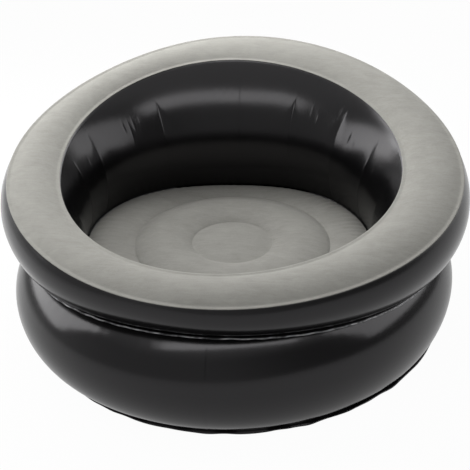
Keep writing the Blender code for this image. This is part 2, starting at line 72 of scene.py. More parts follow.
# Sloping tube
RIM_HALF_WIDTH = 0.511
RIM_HALF_DEPTH = 0.486
RIM_SET_BACK = -0.009
RIM_HEIGHT = 0.400
RIM_SADDLE = 0.0123
BACK_RISE_SHARE = 0.214
MOUTH_RADIUS = 0.388
MOUTH_SET_BACK = -0.003
MOUTH_DROP = 0.008
TUBE_BULGE_SHARE = 0.20
COVER_CROWN_SHARE = 0.09
WELL_BULGE_SHARE = 0.19

# Seat and its bands
SEAT_RADIUS = 0.348
SEAT_SET_BACK = -0.030
SEAT_HEIGHT = 0.165
BAND_SET_BACK = -0.012
OUTER_BAND_RADIUS = 0.232
INNER_BAND_RADIUS = 0.095
OUTER_CROWN_SHARE = 0.09
MIDDLE_CROWN_SHARE = 0.12
CENTRE_CROWN_SHARE = 0.05
SEAT_PLEAT = 0.0023

# Creases of the well's wall: angle in degrees, share of the full depth, start along the section
CREASES = (
    (-156, 0.8, 0.15), (-133, 0.9, 0.18), (-110, 0.8, 0.13), (-88, 0.8, 0.12), (-73, 1.0, 0.10),
    (-54.5, 0.35, 0.24), (-40, 1.0, 0.21), (24, 0.9, 0.22), (47.5, 1.0, 0.14), (69, 1.0, 0.15),
    (90, 0.7, 0.15), (112, 0.9, 0.17), (135, 0.8, 0.12), (158, 0.9, 0.16),
)
TIES = sorted(CREASES, key=lambda crease: (crease[0] - 20) % 360)
TIE_SLACK = 0.0026
TIE_SPAN = (0.20, 0.86)
TIE_RIPPLE = 0.0025
CREASE_DEPTH = 0.0026
CREASE_REACH = 0.016
FOLD_DEPTH = 0.0013
FOLD_REACH = 0.0017

# Small wrinkles of the well's wall: angle, depth and start, as for the creases, and their length
WRINKLES = (
    (-57, 0.45, 0.22, 0.12), (-52.5, 0.5, 0.25, 0.10), (-49.5, 0.3, 0.24, 0.08), (-13, 0.2, 0.22, 0.06),
    (-9.5, 0.25, 0.20, 0.08), (-6, 0.2, 0.22, 0.06), (33, 0.35, 0.24, 0.09), (35.8, 0.5, 0.26, 0.10),
    (45.0, 0.4, 0.10, 0.14), (54.8, 0.5, 0.26, 0.12), (57.5, 0.3, 0.30, 0.08), (76, 0.4, 0.30, 0.12),
    (81, 0.5, 0.34, 0.14), (-80, 0.4, 0.24, 0.12), (-94, 0.4, 0.22, 0.12), (102, 0.4, 0.3, 0.1),
    (123, 0.4, 0.26, 0.12), (-121, 0.4, 0.24, 0.1), (-144, 0.5, 0.3, 0.1), (147, 0.4, 0.25, 0.1),
)
WRINKLE_DEPTH = 0.0016
WRINKLE_REACH = 0.0024

# Departures of the blown-up chair from its pattern: a mean, then a cosine and a sine per whole turn
RIM_OUTWARD = (0.0, 0.0, 0.0075, -0.001, 0.004, 0.001, 0.004, 0.0035, 0.003)
RIM_UPWARD = (-0.001, 0.0015, 0.001, 0.0025, -0.0035, 0.0005, -0.0015)
MOUTH_OUTWARD = (0.001, -0.0025, -0.005, -0.0035, 0.0005, -0.007, -0.0005, -0.001, 0.0015)
MOUTH_UPWARD = (-0.0015, -0.0015, -0.001)
WAIST_OUTWARD = (0.0005, -0.0025, 0.0025, 0.0050, 0.001)
WAIST_UPWARD = (0.0095, -0.0095, 0.003, 0.0015, 0.0005)
FLOOR_OUTWARD = (0.0015, -0.001, 0.0035, 0.0005, -0.002, -0.0025, -0.0025)
SEAT_EDGE = (0.3357, -0.0297, -0.0067, -0.0073, -0.0003, -0.0077, 0.0028, -0.0023, 0.0023)
TUBE_SHARE_CHANGE = (0.002, -0.0065, -0.0145, 0.002, -0.003)
DRUM_SHARE_CHANGE = (0.032, -0.020, 0.000, 0.005, 0.055)
WELL_SHARE_CHANGE = (-0.055, 0.055, 0.0)
COVER_SHARE_CHANGE = (0.020, -0.020, 0.0)

# Each valve's place in its wall: angle in degrees and height in metres
DRUM_VALVE = (-6.75, 0.0998)
TUBE_VALVE = (1.25, 0.3664)

PLY = WALL + WELD_GAP
FLOCKED_PLY = (WALL + FLOCKED_WALL) / 2 + WELD_GAP
UNDER_WELD_HEIGHT = WALL / 2 + FLOOR_FLANGE * float(np.sin(np.radians(FLANGE_DROOP_ANGLE)))
FLANGE_PLY_RISE = PLY / float(np.cos(np.radians(FLANGE_DROOP_ANGLE)))

# Bands, and the vents through them: how many squares of the grid a vent takes, and how many it moves
BAND_LAP = 0.006
BAND_ROWS = 41
BAND_SLACK = 0.0020
OUTER_VENT_RADIUS = 0.014
INNER_VENT_RADIUS = 0.010
VENT_SQUARES = 4
MOVED_SQUARES = 8

# Valve, the same in both chambers. Depths are measured inwards from the face of the sheet.
VALVE_SIDES = 96
VALVE_ROUNDING = 0.00025
VALVE_FLANGE_RADIUS = 0.027
VALVE_FLANGE_THICKNESS = 0.0010
SOCKET_RADIUS = 0.0170
SOCKET_WALL = 0.0025
SOCKET_DEPTH = 0.014
SOCKET_LIP = 0.0030
STOPPER_RIM_OVERHANG = 0.0045
STOPPER_RIM_THICKNESS = 0.0020
STOPPER_DEPTH = 0.0100
STOPPER_CLEARANCE = 0.0003
STOPPER_DRAFT = 0.0018
THROAT_RADIUS = 0.0110
CAP_RIM_OVERHANG = 0.0040
CAP_RIM_THICKNESS = 0.0018
CAP_DEPTH = 0.0055
CAP_WALL = 0.0016
CAP_DRAFT = 0.0012
FLAP_THICKNESS = 0.0010
FLAP_OVERLAP = 0.0022
STRAP_WIDTH = 0.010
STRAP_THICKNESS = 0.0010
STRAP_LENGTH = 0.0020
LUG_LENGTH = 0.0028
HINGE_GAP = 0.0003
JOIN_OVERLAP = 0.0003
FINGER_TAB_WIDTH = 0.008
GROOVE_RADII = (0.0232, 0.0237, 0.0243, 0.0248)
GROOVE_DEPTH = 0.0004
BEAD_RADII = (0.0174, 0.0180, 0.0190, 0.0196)
BEAD_HEIGHT = 0.0005
DISH_RADII = (0.0085, 0.0092)
DISH_DEPTH = 0.0005

# Levels of the valve above the face of the sheet, and its radii, each worked out from its neighbour
FLANGE_TOP = WELD_GAP + VALVE_FLANGE_THICKNESS
SOCKET_TOP = FLANGE_TOP + SOCKET_LIP
RIM_UNDERSIDE = SOCKET_TOP + WELD_GAP
RIM_TOP = RIM_UNDERSIDE + STOPPER_RIM_THICKNESS
STOPPER_RADIUS = SOCKET_RADIUS - STOPPER_CLEARANCE
STOPPER_RIM_RADIUS = SOCKET_RADIUS + STOPPER_RIM_OVERHANG
STOPPER_BOTTOM = RIM_UNDERSIDE - STOPPER_DEPTH
STOPPER_END_RADIUS = STOPPER_RADIUS - STOPPER_DRAFT
CAP_UNDERSIDE = RIM_TOP + WELD_GAP
CAP_TOP = CAP_UNDERSIDE + CAP_RIM_THICKNESS
CAP_RADIUS = THROAT_RADIUS - STOPPER_CLEARANCE
CAP_RIM_RADIUS = THROAT_RADIUS + CAP_RIM_OVERHANG
CAP_BOTTOM = CAP_UNDERSIDE - CAP_DEPTH
FLAP_TOP = STOPPER_BOTTOM - WELD_GAP
FLAP_RADIUS = THROAT_RADIUS + FLAP_OVERLAP
STOPPER_HINGE = (-(STOPPER_RIM_RADIUS + STRAP_LENGTH + HINGE_GAP / 2), RIM_UNDERSIDE + STRAP_THICKNESS)
CAP_HINGE = (CAP_RIM_RADIUS + STRAP_LENGTH + HINGE_GAP / 2, CAP_UNDERSIDE + STRAP_THICKNESS)
FLAP_HINGE = (FLAP_RADIUS + HINGE_GAP / 2, FLAP_TOP - FLAP_THICKNESS)

# Upright lap seams, in degrees: one in each side wall, two in the well's lining
SIDE_SEAM = 180.0
WELL_SEAMS = (-2.0, 181.0)
SEAM_STEP = 0.0009

# Strips behind the lining's seams: span along the section, gap behind the lining, mean radius there
STRIP_SPAN = (0.10, 0.88)
STRIP_GAP = 0.0030
STRIP_RADIUS = 0.36

# Darkest and lightest tone of the flock
FLOCK_COLOURS = ((0.190, 0.186, 0.168), (0.480, 0.472, 0.440))

# Camera, as fitted to the photograph
VIEW_ANGLE = 30.0
VIEW_DISTANCE = 2.1646
VIEW_TARGET = (0.0, 0.0471, 0.1509)
VIEW_YAW = 6.167
VIEW_ELEVATION = 30.08
VIEW_ROLL = -0.717


# Node graphs

class Value:
    """An output socket of a material's node. Arithmetic on it adds the Math nodes."""

    def __init__(self, graph, socket):
        self.graph, self.socket = graph, socket

    def math(self, operation, *others):
        return self.graph.node("ShaderNodeMath", {"operation": operation}, [self, *others])

    def __add__(self, other):
        return self.math("ADD", other)

    def __sub__(self, other):
        return self.math("SUBTRACT", other)

    def __mul__(self, other):
        return self.math("MULTIPLY", other)

    def __truediv__(self, other):
        return self.math("DIVIDE", other)

    def __pow__(self, other):
        return self.math("POWER", other)

    def __rsub__(self, other):
        return self.graph.node("ShaderNodeMath", {"operation": "SUBTRACT"}, [other, self])

    __radd__ = __add__
    __rmul__ = __mul__

    def clamped(self):
        return self.graph.node("ShaderNodeClamp", {}, [self])


class Graph:
    """The node tree of a material or a world."""

    def __init__(self, owner):
        owner.use_nodes = True
        self.tree = owner.node_tree
        self.tree.nodes.clear()

    def node(self, kind, settings, inputs, output=0):
        """Adds a node, sets it up, then gives its inputs, by place or by name, a value or a link."""
        made = self.tree.nodes.new(kind)
        for name, value in settings.items():
            setattr(made, name, value)
        named = inputs.items() if isinstance(inputs, dict) else enumerate(inputs)
        for name, value in named:
            if isinstance(value, Value):
                self.tree.links.new(value.socket, made.inputs[name])
            elif value is not None:
                made.inputs[name].default_value = value
        return Value(self, made.outputs[output]) if made.outputs else None

    def blend(self, factor, first, second):
        """A colour between two colours."""
        first, second = [
            value if isinstance(value, Value) else (*value, 1.0) for value in (first, second)
        ]
        return self.node("ShaderNodeMix", {"data_type": "RGBA"}, {0: factor, 6: first, 7: second}, 2)

    def noise(self, where, scale, detail=3.0, roughness=0.5, distortion=0.0):
        return self.node("ShaderNodeTexNoise", {}, {
            "Vector": where, "Scale": scale, "Detail": detail, "Roughness": roughness,
            "Distortion": distortion,
        })

    def place(self, scale=(1.0, 1.0, 1.0)):
        """The place on the object, stretched per axis."""
        here = self.node("ShaderNodeTexCoord", {}, [], "Object")
        return self.node("ShaderNodeMapping", {}, {"Vector": here, "Scale": scale})

    def bump(self, height, strength, distance, under=None):
        return self.node("ShaderNodeBump", {}, {
            "Height": height, "Strength": strength, "Distance": distance, "Normal": under,
        })


def material(name, make):
    made = bpy.data.materials.new(name)
    graph = Graph(made)
    shader = graph.node("ShaderNodeBsdfPrincipled", {}, make(graph))
    graph.node("ShaderNodeOutputMaterial", {}, {"Surface": shader})
    return made


def satin_vinyl(graph, streak=0.0):
    """Black satin vinyl: fine grain, faint cloudiness in its gloss, and upright drawing streaks where
    the sheet is stretched."""
    cloud = graph.noise(graph.place(), 9.0, 4.0, 0.6)
    grain = graph.noise(graph.place(), 1400.0, 2.0)
    lines = graph.noise(graph.place((1.0, 1.0, 0.10)), 260.0, 4.0, 0.65)
    roughness = 0.14 + cloud * 0.08 + lines * (0.06 * streak)
    fine = graph.bump(grain, 0.10, 0.0002)
    return {
        "Base Color": (0.0026, 0.0025, 0.0027, 1.0),
        "Roughness": roughness,
        "Specular IOR Level": 0.42,
        "Specular Tint": (0.99, 0.97, 1.0, 1.0),
        "Normal": graph.bump(lines, 0.10 * (1 + streak), 0.0006, fine),
    }


def flocked_vinyl(graph, shade=1.0):
    """Short grey flock: suede-like patches brushed to and fro, and the fine grain of the fibres. The
    shade darkens it: painted shade, given to the seat's flock for the shade that falls in the well."""
    patch = graph.noise(graph.place((1.0, 1.6, 1.0)), 24.0, 5.0, 0.68, 0.4)
    brushed = graph.noise(graph.place((0.12, 1.0, 1.0)), 210.0, 4.0, 0.65, 0.2)
    fibre = graph.noise(graph.place(), 520.0, 4.0, 0.8)
    tone = (patch * 0.42 + brushed * 0.33 + fibre * 0.60 - 0.175).clamped()
    # a shade below 1 darkens both tones: painted shade, used for the seat
    dark, light = [tuple(shade * part for part in colour) for colour in FLOCK_COLOURS]
    return {
        "Base Color": graph.blend(tone, dark, light),
        "Roughness": 0.95,
        "Specular IOR Level": 0.15,
        "Sheen Weight": 0.12,
        "Sheen Roughness": 0.45,
        "Sheen Tint": (0.92, 0.92, 0.88, 1.0),
        "Normal": graph.bump(fibre, 0.35, 0.0005, graph.bump(brushed, 0.25, 0.0006)),
    }


def inner_vinyl(graph):
    cloud = graph.noise(graph.place(), 30.0)
    return {"Base Color": (0.045, 0.045, 0.048, 1.0), "Roughness": 0.35 + cloud * 0.15}


def glint_painted_edge_vinyl(graph):
    """The divider's cut edge, pale in restless stretches: painted highlight for the glints along the fin."""
    # this noise picks where the painted highlight falls, and varies the roughness
    drawn = graph.noise(graph.place(), 34.0, 5.0, 0.7)
    # pale stretches: painted highlight standing in for the fin's glints
    pale = ((drawn - 0.42) * 6.0).clamped()
    return {
        "Base Color": graph.blend(pale, (0.05, 0.05, 0.055), (0.62, 0.62, 0.64)),
        "Roughness": 0.25 + drawn * 0.2,
    }


def moulded_vinyl(graph):
    """Moulded soft vinyl of the valves: a fine spark-eroded surface."""
    fine = graph.noise(graph.place(), 1800.0, 2.0)
    cloud = graph.noise(graph.place(), 90.0)
    return {
        "Base Color": (0.016, 0.016, 0.017, 1.0),
        "Roughness": 0.42 + cloud * 0.12,
        "Normal": graph.bump(fine, 0.2, 0.0002),
    }


def flap_film(graph):
    cloud = graph.noise(graph.place(), 200.0)
    return {"Base Color": (0.45, 0.46, 0.47, 1.0), "Roughness": 0.30 + cloud * 0.1}


FINISHES = {
    "vinyl": material("satin_black_vinyl", satin_vinyl),
    "well_vinyl": material("stretched_black_vinyl", lambda graph: satin_vinyl(graph, 1.0)),
    "flock": material("grey_flock", flocked_vinyl),
    # the seat's flock is the same flock darkened: painted shade for the shade inside the well
    "shade_darkened_seat_flock": material("grey_flock_painted_seat_shade", lambda graph: flocked_vinyl(graph, 0.84)),
    "inner": material("inner_vinyl", inner_vinyl),
    "glint_painted_edge": material("glint_painted_pale_edge", glint_painted_edge_vinyl),
    "moulded": material("moulded_black_vinyl", moulded_vinyl),
    "film": material("flap_film", flap_film),
}


# Surfaces

def round_the_chair(count, fine_at=(), fine_steps=(0.1, 0.25, 0.5, 0.8)):
    """Angles round the chair in radians, evenly spaced, with more of them close to the angles in
    fine_at. One that would lie within 0.04 degrees of the angle before it is left out."""
    even = np.arange(count) * 360.0 / count - 180.0
    offsets = np.concatenate([[-step for step in fine_steps], [0.0], fine_steps])
    close = (np.asarray(fine_at, float)[:, None] + offsets).ravel()
    together = np.sort((np.concatenate([even, close]) + 180.0) % 360.0 - 180.0)
    apart = np.diff(together, prepend=together[-1] - 360.0) > 0.04
    return np.radians(together[apart])


def weld(angle, half_width, half_depth, set_back, height, rise=0.0, saddle=0.0):
    """Radius and height of a weld at each angle: the larger root of an ellipse's equation along the
    ray from the axis, on a plane that rises towards the back, plus the saddle times the cosine of
    the double angle."""
    across, along = np.sin(angle), np.cos(angle)
    square = (across / half_width) ** 2 + (along / half_depth) ** 2
    lean = along * set_back / half_depth**2
    radius = (lean + np.sqrt(lean**2 + square * (1 - (set_back / half_depth) ** 2))) / square
    return np.stack([radius, height + rise * radius * along + saddle * np.cos(2 * angle)], -1)


def bow(start, end, share, way):
    """Circular arc from start to end, bulging to the right of that direction by share times its
    chord. way runs from 0 to 1 along it; share is one number or one for each angle."""
    chord = (end - start)[:, None, :]
    right = np.stack([chord[..., 1], -chord[..., 0]], -1)
    half_turn = 2 * np.arctan(2 * np.broadcast_to(share, len(start)))[:, None]
    turn = half_turn * (2 * way - 1)
    radius = 0.5 / np.sin(half_turn)
    along = 0.5 + radius * np.sin(turn)
    aside = radius * (np.cos(turn) - np.cos(half_turn))
    return start[:, None, :] + chord * along[..., None] + right * aside[..., None]


def full_bow(start, end, share, way, fullness):
    """As bow, but between a circular arc and a half ellipse of the same depth, by fullness for each
    point: an ellipse turns more tightly beside its welds. Points lie closer to each other there."""
    chord = (end - start)[:, None, :]
    right = np.stack([chord[..., 1], -chord[..., 0]], -1)
    half_turn = 2 * np.arctan(2 * np.broadcast_to(share, len(start)))[:, None]
    radius = 0.5 / np.sin(half_turn)
    along = 0.5 - 0.5 * np.cos(np.pi * way)
    arc = np.sqrt(radius**2 - (along - 0.5) ** 2) - radius * np.cos(half_turn)
    ellipse = np.broadcast_to(share, len(start))[:, None] * np.sin(np.pi * way)
    aside = arc + (ellipse - arc) * fullness
    return start[:, None, :] + chord * (along + 0 * aside)[..., None] + right * aside[..., None]


def seam_step(grid, degrees):
    """Height of an upright lap seam: the upper sheet ends in a step, with a shallow dip beside it."""
    aside = np.degrees(turned_by(grid, np.radians(degrees)))
    return SEAM_STEP * (0.5 * eased(0.5 + aside / 0.3) * np.exp(-np.clip(aside, 0, None) / 1.6)
                        - 0.35 * np.exp(-((aside + 0.35) / 0.3) ** 2))


def straight(start, end, steps):
    """Points on the line from start towards end, with the end left out."""
    way = (np.arange(steps) / steps)[None, :, None]
    return start[:, None, :] * (1 - way) + end[:, None, :] * way


def moved(section, distance):
    """A section moved square to itself, to the left of its direction, by a distance for each point."""
    along = np.gradient(section, axis=1)
    along /= np.maximum(np.linalg.norm(along, axis=-1, keepdims=True), 1e-9)
    left = np.stack([-along[..., 1], along[..., 0]], -1)
    return section + left * distance[..., None]


def waves(angle, seed, slowest, fastest, count=8):
    """An irregularity round the chair, mostly within -1 to 1: a sum of sines of whole frequencies."""
    draw = np.random.default_rng(seed)
    pitch = draw.integers(slowest, fastest + 1, count)
    phase = draw.uniform(0, 2 * np.pi, count)
    weight = draw.uniform(0.5, 1.0, count)
    sum_of = (np.sin(angle[..., None] * pitch + phase) * weight).sum(-1)
    return sum_of / weight.sum() * 1.8


def eased(way):
    """A smooth step from 0 to 1 as way goes from 0 to 1."""
    way = np.clip(way, 0.0, 1.0)
    return way * way * (3 - 2 * way)


def turned_by(angle, centre):
    """How far an angle lies from another, in radians, the short way round."""
    return (angle - centre + np.pi) % (2 * np.pi) - np.pi


def spread(angle, way):
    """The angle and the way along the section at every point of a sheet's grid."""
    return angle[:, None] + 0 * way, 0 * angle[:, None] + way


def upright(angle, section):
    """Points of sections, each in the upright plane at its angle."""
    x = section[..., 0] * np.sin(angle)[:, None]
    y = section[..., 0] * np.cos(angle)[:, None]
    return np.stack([x, y, section[..., 1]], -1)


def skin(name, angle, section, thickness, finish, nodes, closed=False):
    """A sheet through the sections at all angles, which joins itself round the chair. A closed one
    ends in a single point on the axis."""
    points = upright(angle, section)
    rounds, rows = points.shape[:2]
    flat_rows = rows - 1 if closed else rows
    verts = points[:, :flat_rows].reshape(-1, 3)
    here = np.arange(rounds)[:, None] * flat_rows + np.arange(flat_rows - 1)
    after = np.roll(np.arange(rounds), -1)[:, None] * flat_rows + np.arange(flat_rows - 1)
    faces = np.stack([here, after, after + 1, here + 1], -1).reshape(-1, 4).tolist()
    if closed:
        pole = points[:, -1].mean(0)
        verts = np.vstack([verts, pole])
        last = np.arange(rounds) * flat_rows + flat_rows - 1
        faces += np.stack([last, np.roll(last, -1), np.full(rounds, len(verts) - 1)], -1).tolist()
    return finished(name, verts, faces, thickness, finish, nodes, "chair")


def finished(name, verts, faces, thickness, finish, nodes, body):
    """A visible piece with its finish and thickness, the body it rides and the nodes it replaces."""
    mesh = bpy.data.meshes.new(name)
    mesh.from_pydata(verts, [], faces)
    mesh.polygons.foreach_set("use_smooth", np.ones(len(mesh.polygons), bool))
    mesh.materials.append(FINISHES[finish])
    piece = bpy.data.objects.new(name, mesh)
    bpy.context.scene.collection.objects.link(piece)
    if thickness:
        shell = piece.modifiers.new("thickness", "SOLIDIFY")
        shell.thickness = thickness
        shell.offset = 0.0
    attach(piece, body)
    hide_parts(*nodes)
    return piece


# The welds, as functions of the angle. real is 1 for the blown-up chair and 0 for its round pattern

def uneven(angle, table):
    """A departure at each angle: the table's mean, plus its cosine and sine of each whole turn."""
    total = np.full(np.shape(angle), table[0])
    for turns in range(1, len(table) // 2 + 1):
        cosine, sine = table[2 * turns - 1], table[2 * turns]
        total = total + cosine * np.cos(turns * angle) + sine * np.sin(turns * angle)
    return total


def shifted(angle, points, outward, upward=(0.0,)):
    """A weld's points moved outward and up by the tables."""
    return points + np.stack([uneven(angle, outward), uneven(angle, upward)], -1)


def floor_weld(angle, real=1.0):
    line = weld(angle, FLOOR_RADIUS, FLOOR_RADIUS, 0.0, UNDER_WELD_HEIGHT + FLANGE_PLY_RISE)
    return line + real * (shifted(angle, line, FLOOR_OUTWARD) - line)


def waist_weld(angle, real=1.0):
    line = weld(angle, WAIST_RADIUS, WAIST_RADIUS, WAIST_SET_BACK, WAIST_HEIGHT, saddle=WAIST_SADDLE)
    return line + real * (shifted(angle, line, WAIST_OUTWARD, WAIST_UPWARD) - line)


def rim_weld(angle, real=1.0):
    line = weld(
        angle, RIM_HALF_WIDTH, RIM_HALF_DEPTH, RIM_SET_BACK, RIM_HEIGHT, BACK_RISE_SHARE, RIM_SADDLE
    )
    return line + real * (shifted(angle, line, RIM_OUTWARD, RIM_UPWARD) - line)


def mouth_weld(angle):
    level = RIM_HEIGHT - MOUTH_DROP
    line = weld(angle, MOUTH_RADIUS, MOUTH_RADIUS, MOUTH_SET_BACK, level, BACK_RISE_SHARE, RIM_SADDLE)
    return shifted(angle, shifted(angle, line, MOUTH_OUTWARD, RIM_UPWARD), (0.0,), MOUTH_UPWARD)


def seat_weld(angle):
    return weld(angle, SEAT_RADIUS, SEAT_RADIUS, SEAT_SET_BACK, SEAT_HEIGHT)


def seat_edge(angle, height):
    """The seat's rolled edge, which the lining's foot meets: flattened at the back, full at the left."""
    return np.stack([uneven(angle, SEAT_EDGE), np.full(len(angle), height)], -1)


def set_valve(wall, pattern, angle, valve):
    """A wall brought back to its round pattern around the valve that is set in it."""
    aside = turned_by(angle, np.radians(valve[0]))[:, None] * pattern[..., 0]
    apart = np.hypot(aside, pattern[..., 1] - valve[1])
    return wall + (pattern - wall) * eased((0.13 - apart) / 0.08)[..., None]


def cover_directions(rim, mouth):
    """Unit ways along the cover from rim to mouth, and square to it into the tube."""
    inward = mouth - rim
    inward /= np.linalg.norm(inward, axis=-1, keepdims=True)
    return inward, np.stack([-inward[:, 1], inward[:, 0]], -1)


OUT = np.array([1.0, 0.0])
UP = np.array([0.0, 1.0])


# Ripples that the plies of a weld share

def near(angle, degrees, reach):
    """1 at an angle round the chair, falling off past reach degrees to each side of it."""
    return np.exp(-((turned_by(angle, np.radians(degrees)) / np.radians(reach)) ** 4))


def flange_line(angle, point):
    """The floor flange from its edge in to a weld point, which is left out: level beside the weld, then
    drooping to the floor at the front. Elsewhere it droops less, and ripples lift its scalloped edge."""
    restless = 0.45 + 0.55 * near(angle, 140, 30)
    reach = FLOOR_FLANGE - 0.0030 * restless * (1 + waves(angle, 12, 20, 60, 10)) / 2
    out = reach[:, None] * np.linspace(1.0, 0.0, 9)[:-1]
    lifted = np.clip(restless * np.maximum(waves(angle, 11, 17, 46, 10), 0.0) ** 1.3, 0.0, 0.8)
    droop = np.radians(FLANGE_DROOP_ANGLE) * (0.30 + 0.70 * near(angle, 181, 34)) * (1 - lifted)
    turn = droop[:, None] * eased(out / 0.005)
    return point[:, None, :] + np.stack([out * np.cos(turn), -out * np.sin(turn)], -1)


def drum_section(angle, way):
    """The drum's side from its floor weld to its waist weld, before its puckers."""
    share = DRUM_BULGE_SHARE + uneven(angle, DRUM_SHARE_CHANGE)
    fullness = DRUM_FULLNESS[0] + (DRUM_FULLNESS[1] - DRUM_FULLNESS[0]) * way
    return full_bow(floor_weld(angle), waist_weld(angle) - UP * PLY, share, way, fullness)


def fin_line(angle, point, extra=0.0):
    """The waist fin from a weld point, which is left out, to its edge, and extra past it. It follows
    the drum's shoulder, from which it lifts restlessly and by little, and its cut edge wanders."""
    width = 1 + extra / WAIST_FIN - 0.13 * (1 + waves(angle, 23, 25, 80, 12)) / 2
    samples = 45
    near_weld = drum_section(angle, 1 - np.linspace(0.0, 0.22, samples))
    apart = np.linalg.norm(np.diff(near_weld, axis=1), axis=-1).cumsum(1)
    reach = width[:, None] * WAIST_FIN * np.linspace(0.0, 1.0, 9)[1:]
    place = (apart[:, None, :] < reach[..., None]).sum(-1) + 1
    before = np.take_along_axis(np.pad(apart, ((0, 0), (1, 0))), place - 1, 1)
    beyond = np.take_along_axis(apart, np.minimum(place - 1, samples - 2), 1)
    share = (reach - before) / (beyond - before)
    first = np.take_along_axis(near_weld, (place - 1)[..., None], 1)
    last = np.take_along_axis(near_weld, np.minimum(place, samples - 1)[..., None], 1)
    shoulder = first + (last - first) * share[..., None] - near_weld[:, :1]
    lift = 0.0007 + 0.0011 * np.clip(waves(angle, 21, 30, 95, 12) + 0.3, 0.0, 1.5)
    return point[:, None, :] + shoulder + UP * (lift[:, None] * eased(reach / WAIST_FIN))[..., None]


def floor_sheet():
    """The bottom: its flange, a curve down from the weld to the floor, and the flat disc inside it."""
    angle = round_the_chair(720)
    under = np.stack([floor_weld(angle)[:, 0], np.full(len(angle), UNDER_WELD_HEIGHT)], -1)
    contact = np.stack([under[:, 0] - FLOOR_CURVE_WIDTH, np.full(len(angle), WALL / 2)], -1)
    rise = under[0] - contact[0]
    share = float(np.tan(np.arctan2(rise[1], rise[0]) / 2) / 2)
    curve = bow(contact, under, share, np.linspace(1.0, 0.0, 10))
    inside = np.linspace(1.0, 0.0, 14)[1:]
    disc = np.stack([contact[:, :1] * inside, np.full((len(angle), len(inside)), WALL / 2)], -1)
    section = np.concatenate([flange_line(angle, under), curve, disc], 1)
    skin("bottom_sheet", angle, section, WALL, "vinyl", ["floor_sheet"], closed=True)


def side_wrinkles(angle, way, seed, reach):
    """Shallow upright puckers that start at a weld and die out along the way from it."""
    fade = np.exp(-way / reach)
    return waves(angle, seed, 60, 140, 12) * fade * (0.55 + 0.45 * waves(angle, seed + 1, 3, 9, 5))


def drum_side():
    """The drum's wall with its floor flange and its ply of the waist fin, puckered at both welds."""
    angle = round_the_chair(780, (SIDE_SEAM,))
    way = np.linspace(0.0, 1.0, 48)
    low = floor_weld(angle)
    high = waist_weld(angle) - UP * PLY
    wall = drum_section(angle, way)
    grid, along = spread(angle, way)
    ends = np.sin(np.pi * np.clip(along, 0, 1)) ** 0.5
    pucker = 0.0011 * side_wrinkles(grid, along, 31, 0.07)
    pucker += 0.0012 * side_wrinkles(grid, 1 - along, 33, 0.10)
    slow = 0.0010 * waves(grid, 35, 2, 9, 6) * np.sin(np.pi * along) ** 2
    wall = moved(wall, -(pucker * ends + slow + seam_step(grid, SIDE_SEAM) * ends))
    pattern_high = waist_weld(angle, 0.0) - UP * PLY
    pattern = full_bow(floor_weld(angle, 0.0), pattern_high, DRUM_BULGE_SHARE, way, 0.0)
    wall = set_valve(wall, pattern, angle, DRUM_VALVE)
    section = np.concatenate([flange_line(angle, low), wall, fin_line(angle, high)], 1)
    skin("drum_wall", angle, section, WALL, "vinyl", ["drum_side"])


def tube_section(angle, way):
    """The tube's outer side from its waist weld to its rim weld, before its puckers."""
    rim, mouth = rim_weld(angle), mouth_weld(angle)
    _, into_tube = cover_directions(rim, mouth)
    share = TUBE_BULGE_SHARE + uneven(angle, TUBE_SHARE_CHANGE)
    fullness = TUBE_FULLNESS[0] + (TUBE_FULLNESS[1] - TUBE_FULLNESS[0]) * way
    return full_bow(waist_weld(angle) + UP * PLY, rim + into_tube * FLOCKED_PLY, share, way, fullness)


def tube_side():
    """The tube's outer wall with its ply of the waist fin and its lap under the cover, puckered."""
    angle = round_the_chair(780, (SIDE_SEAM,))
    way = np.linspace(0.0, 1.0, 52)
    low = waist_weld(angle) + UP * PLY
    rim, mouth = rim_weld(angle), mouth_weld(angle)
    inward, into_tube = cover_directions(rim, mouth)
    high = rim + into_tube * FLOCKED_PLY
    fin = fin_line(angle, low)[:, ::-1]
    wall = tube_section(angle, way)
    grid, along = spread(angle, way)
    ends = np.sin(np.pi * np.clip(along, 0, 1)) ** 0.5
    pucker = 0.0013 * side_wrinkles(grid, along, 41, 0.05)
    pucker += 0.0009 * side_wrinkles(grid, 1 - along, 43, 0.05)
    slow = 0.0013 * waves(grid, 45, 2, 9, 6) * np.sin(np.pi * along) ** 2
    wall = moved(wall, -(pucker * ends + slow + seam_step(grid, SIDE_SEAM) * ends))
    pattern_high = rim_weld(angle, 0.0) + into_tube * FLOCKED_PLY
    pattern = full_bow(waist_weld(angle, 0.0) + UP * PLY, pattern_high, TUBE_BULGE_SHARE, way, 0.0)
    wall = set_valve(wall, pattern, angle, TUBE_VALVE)
    lap = high[:, None, :] + inward[:, None, :] * np.linspace(0.0, LAP, 4)[1:, None]
    section = np.concatenate([fin, wall, lap], 1)
    skin("tube_wall", angle, section, WALL, "vinyl", ["tube_side"])


def rim_cover():
    """The sloping flocked ring, with a flat lap at its rim and at its mouth."""
    angle = round_the_chair(780)
    rim, mouth = rim_weld(angle), mouth_weld(angle)
    inward, _ = cover_directions(rim, mouth)
    outer, inner = rim + inward * LAP, mouth - inward * LAP
    way = np.linspace(0.0, 1.0, 34)
    crown = bow(outer, inner, COVER_CROWN_SHARE + uneven(angle, COVER_SHARE_CHANGE), way)
    section = np.concatenate([straight(rim, outer, 4), crown, straight(mouth, inner, 4)[:, ::-1]], 1)
    skin("top_cover", angle, section, FLOCKED_WALL, "flock", ["rim_cover"])


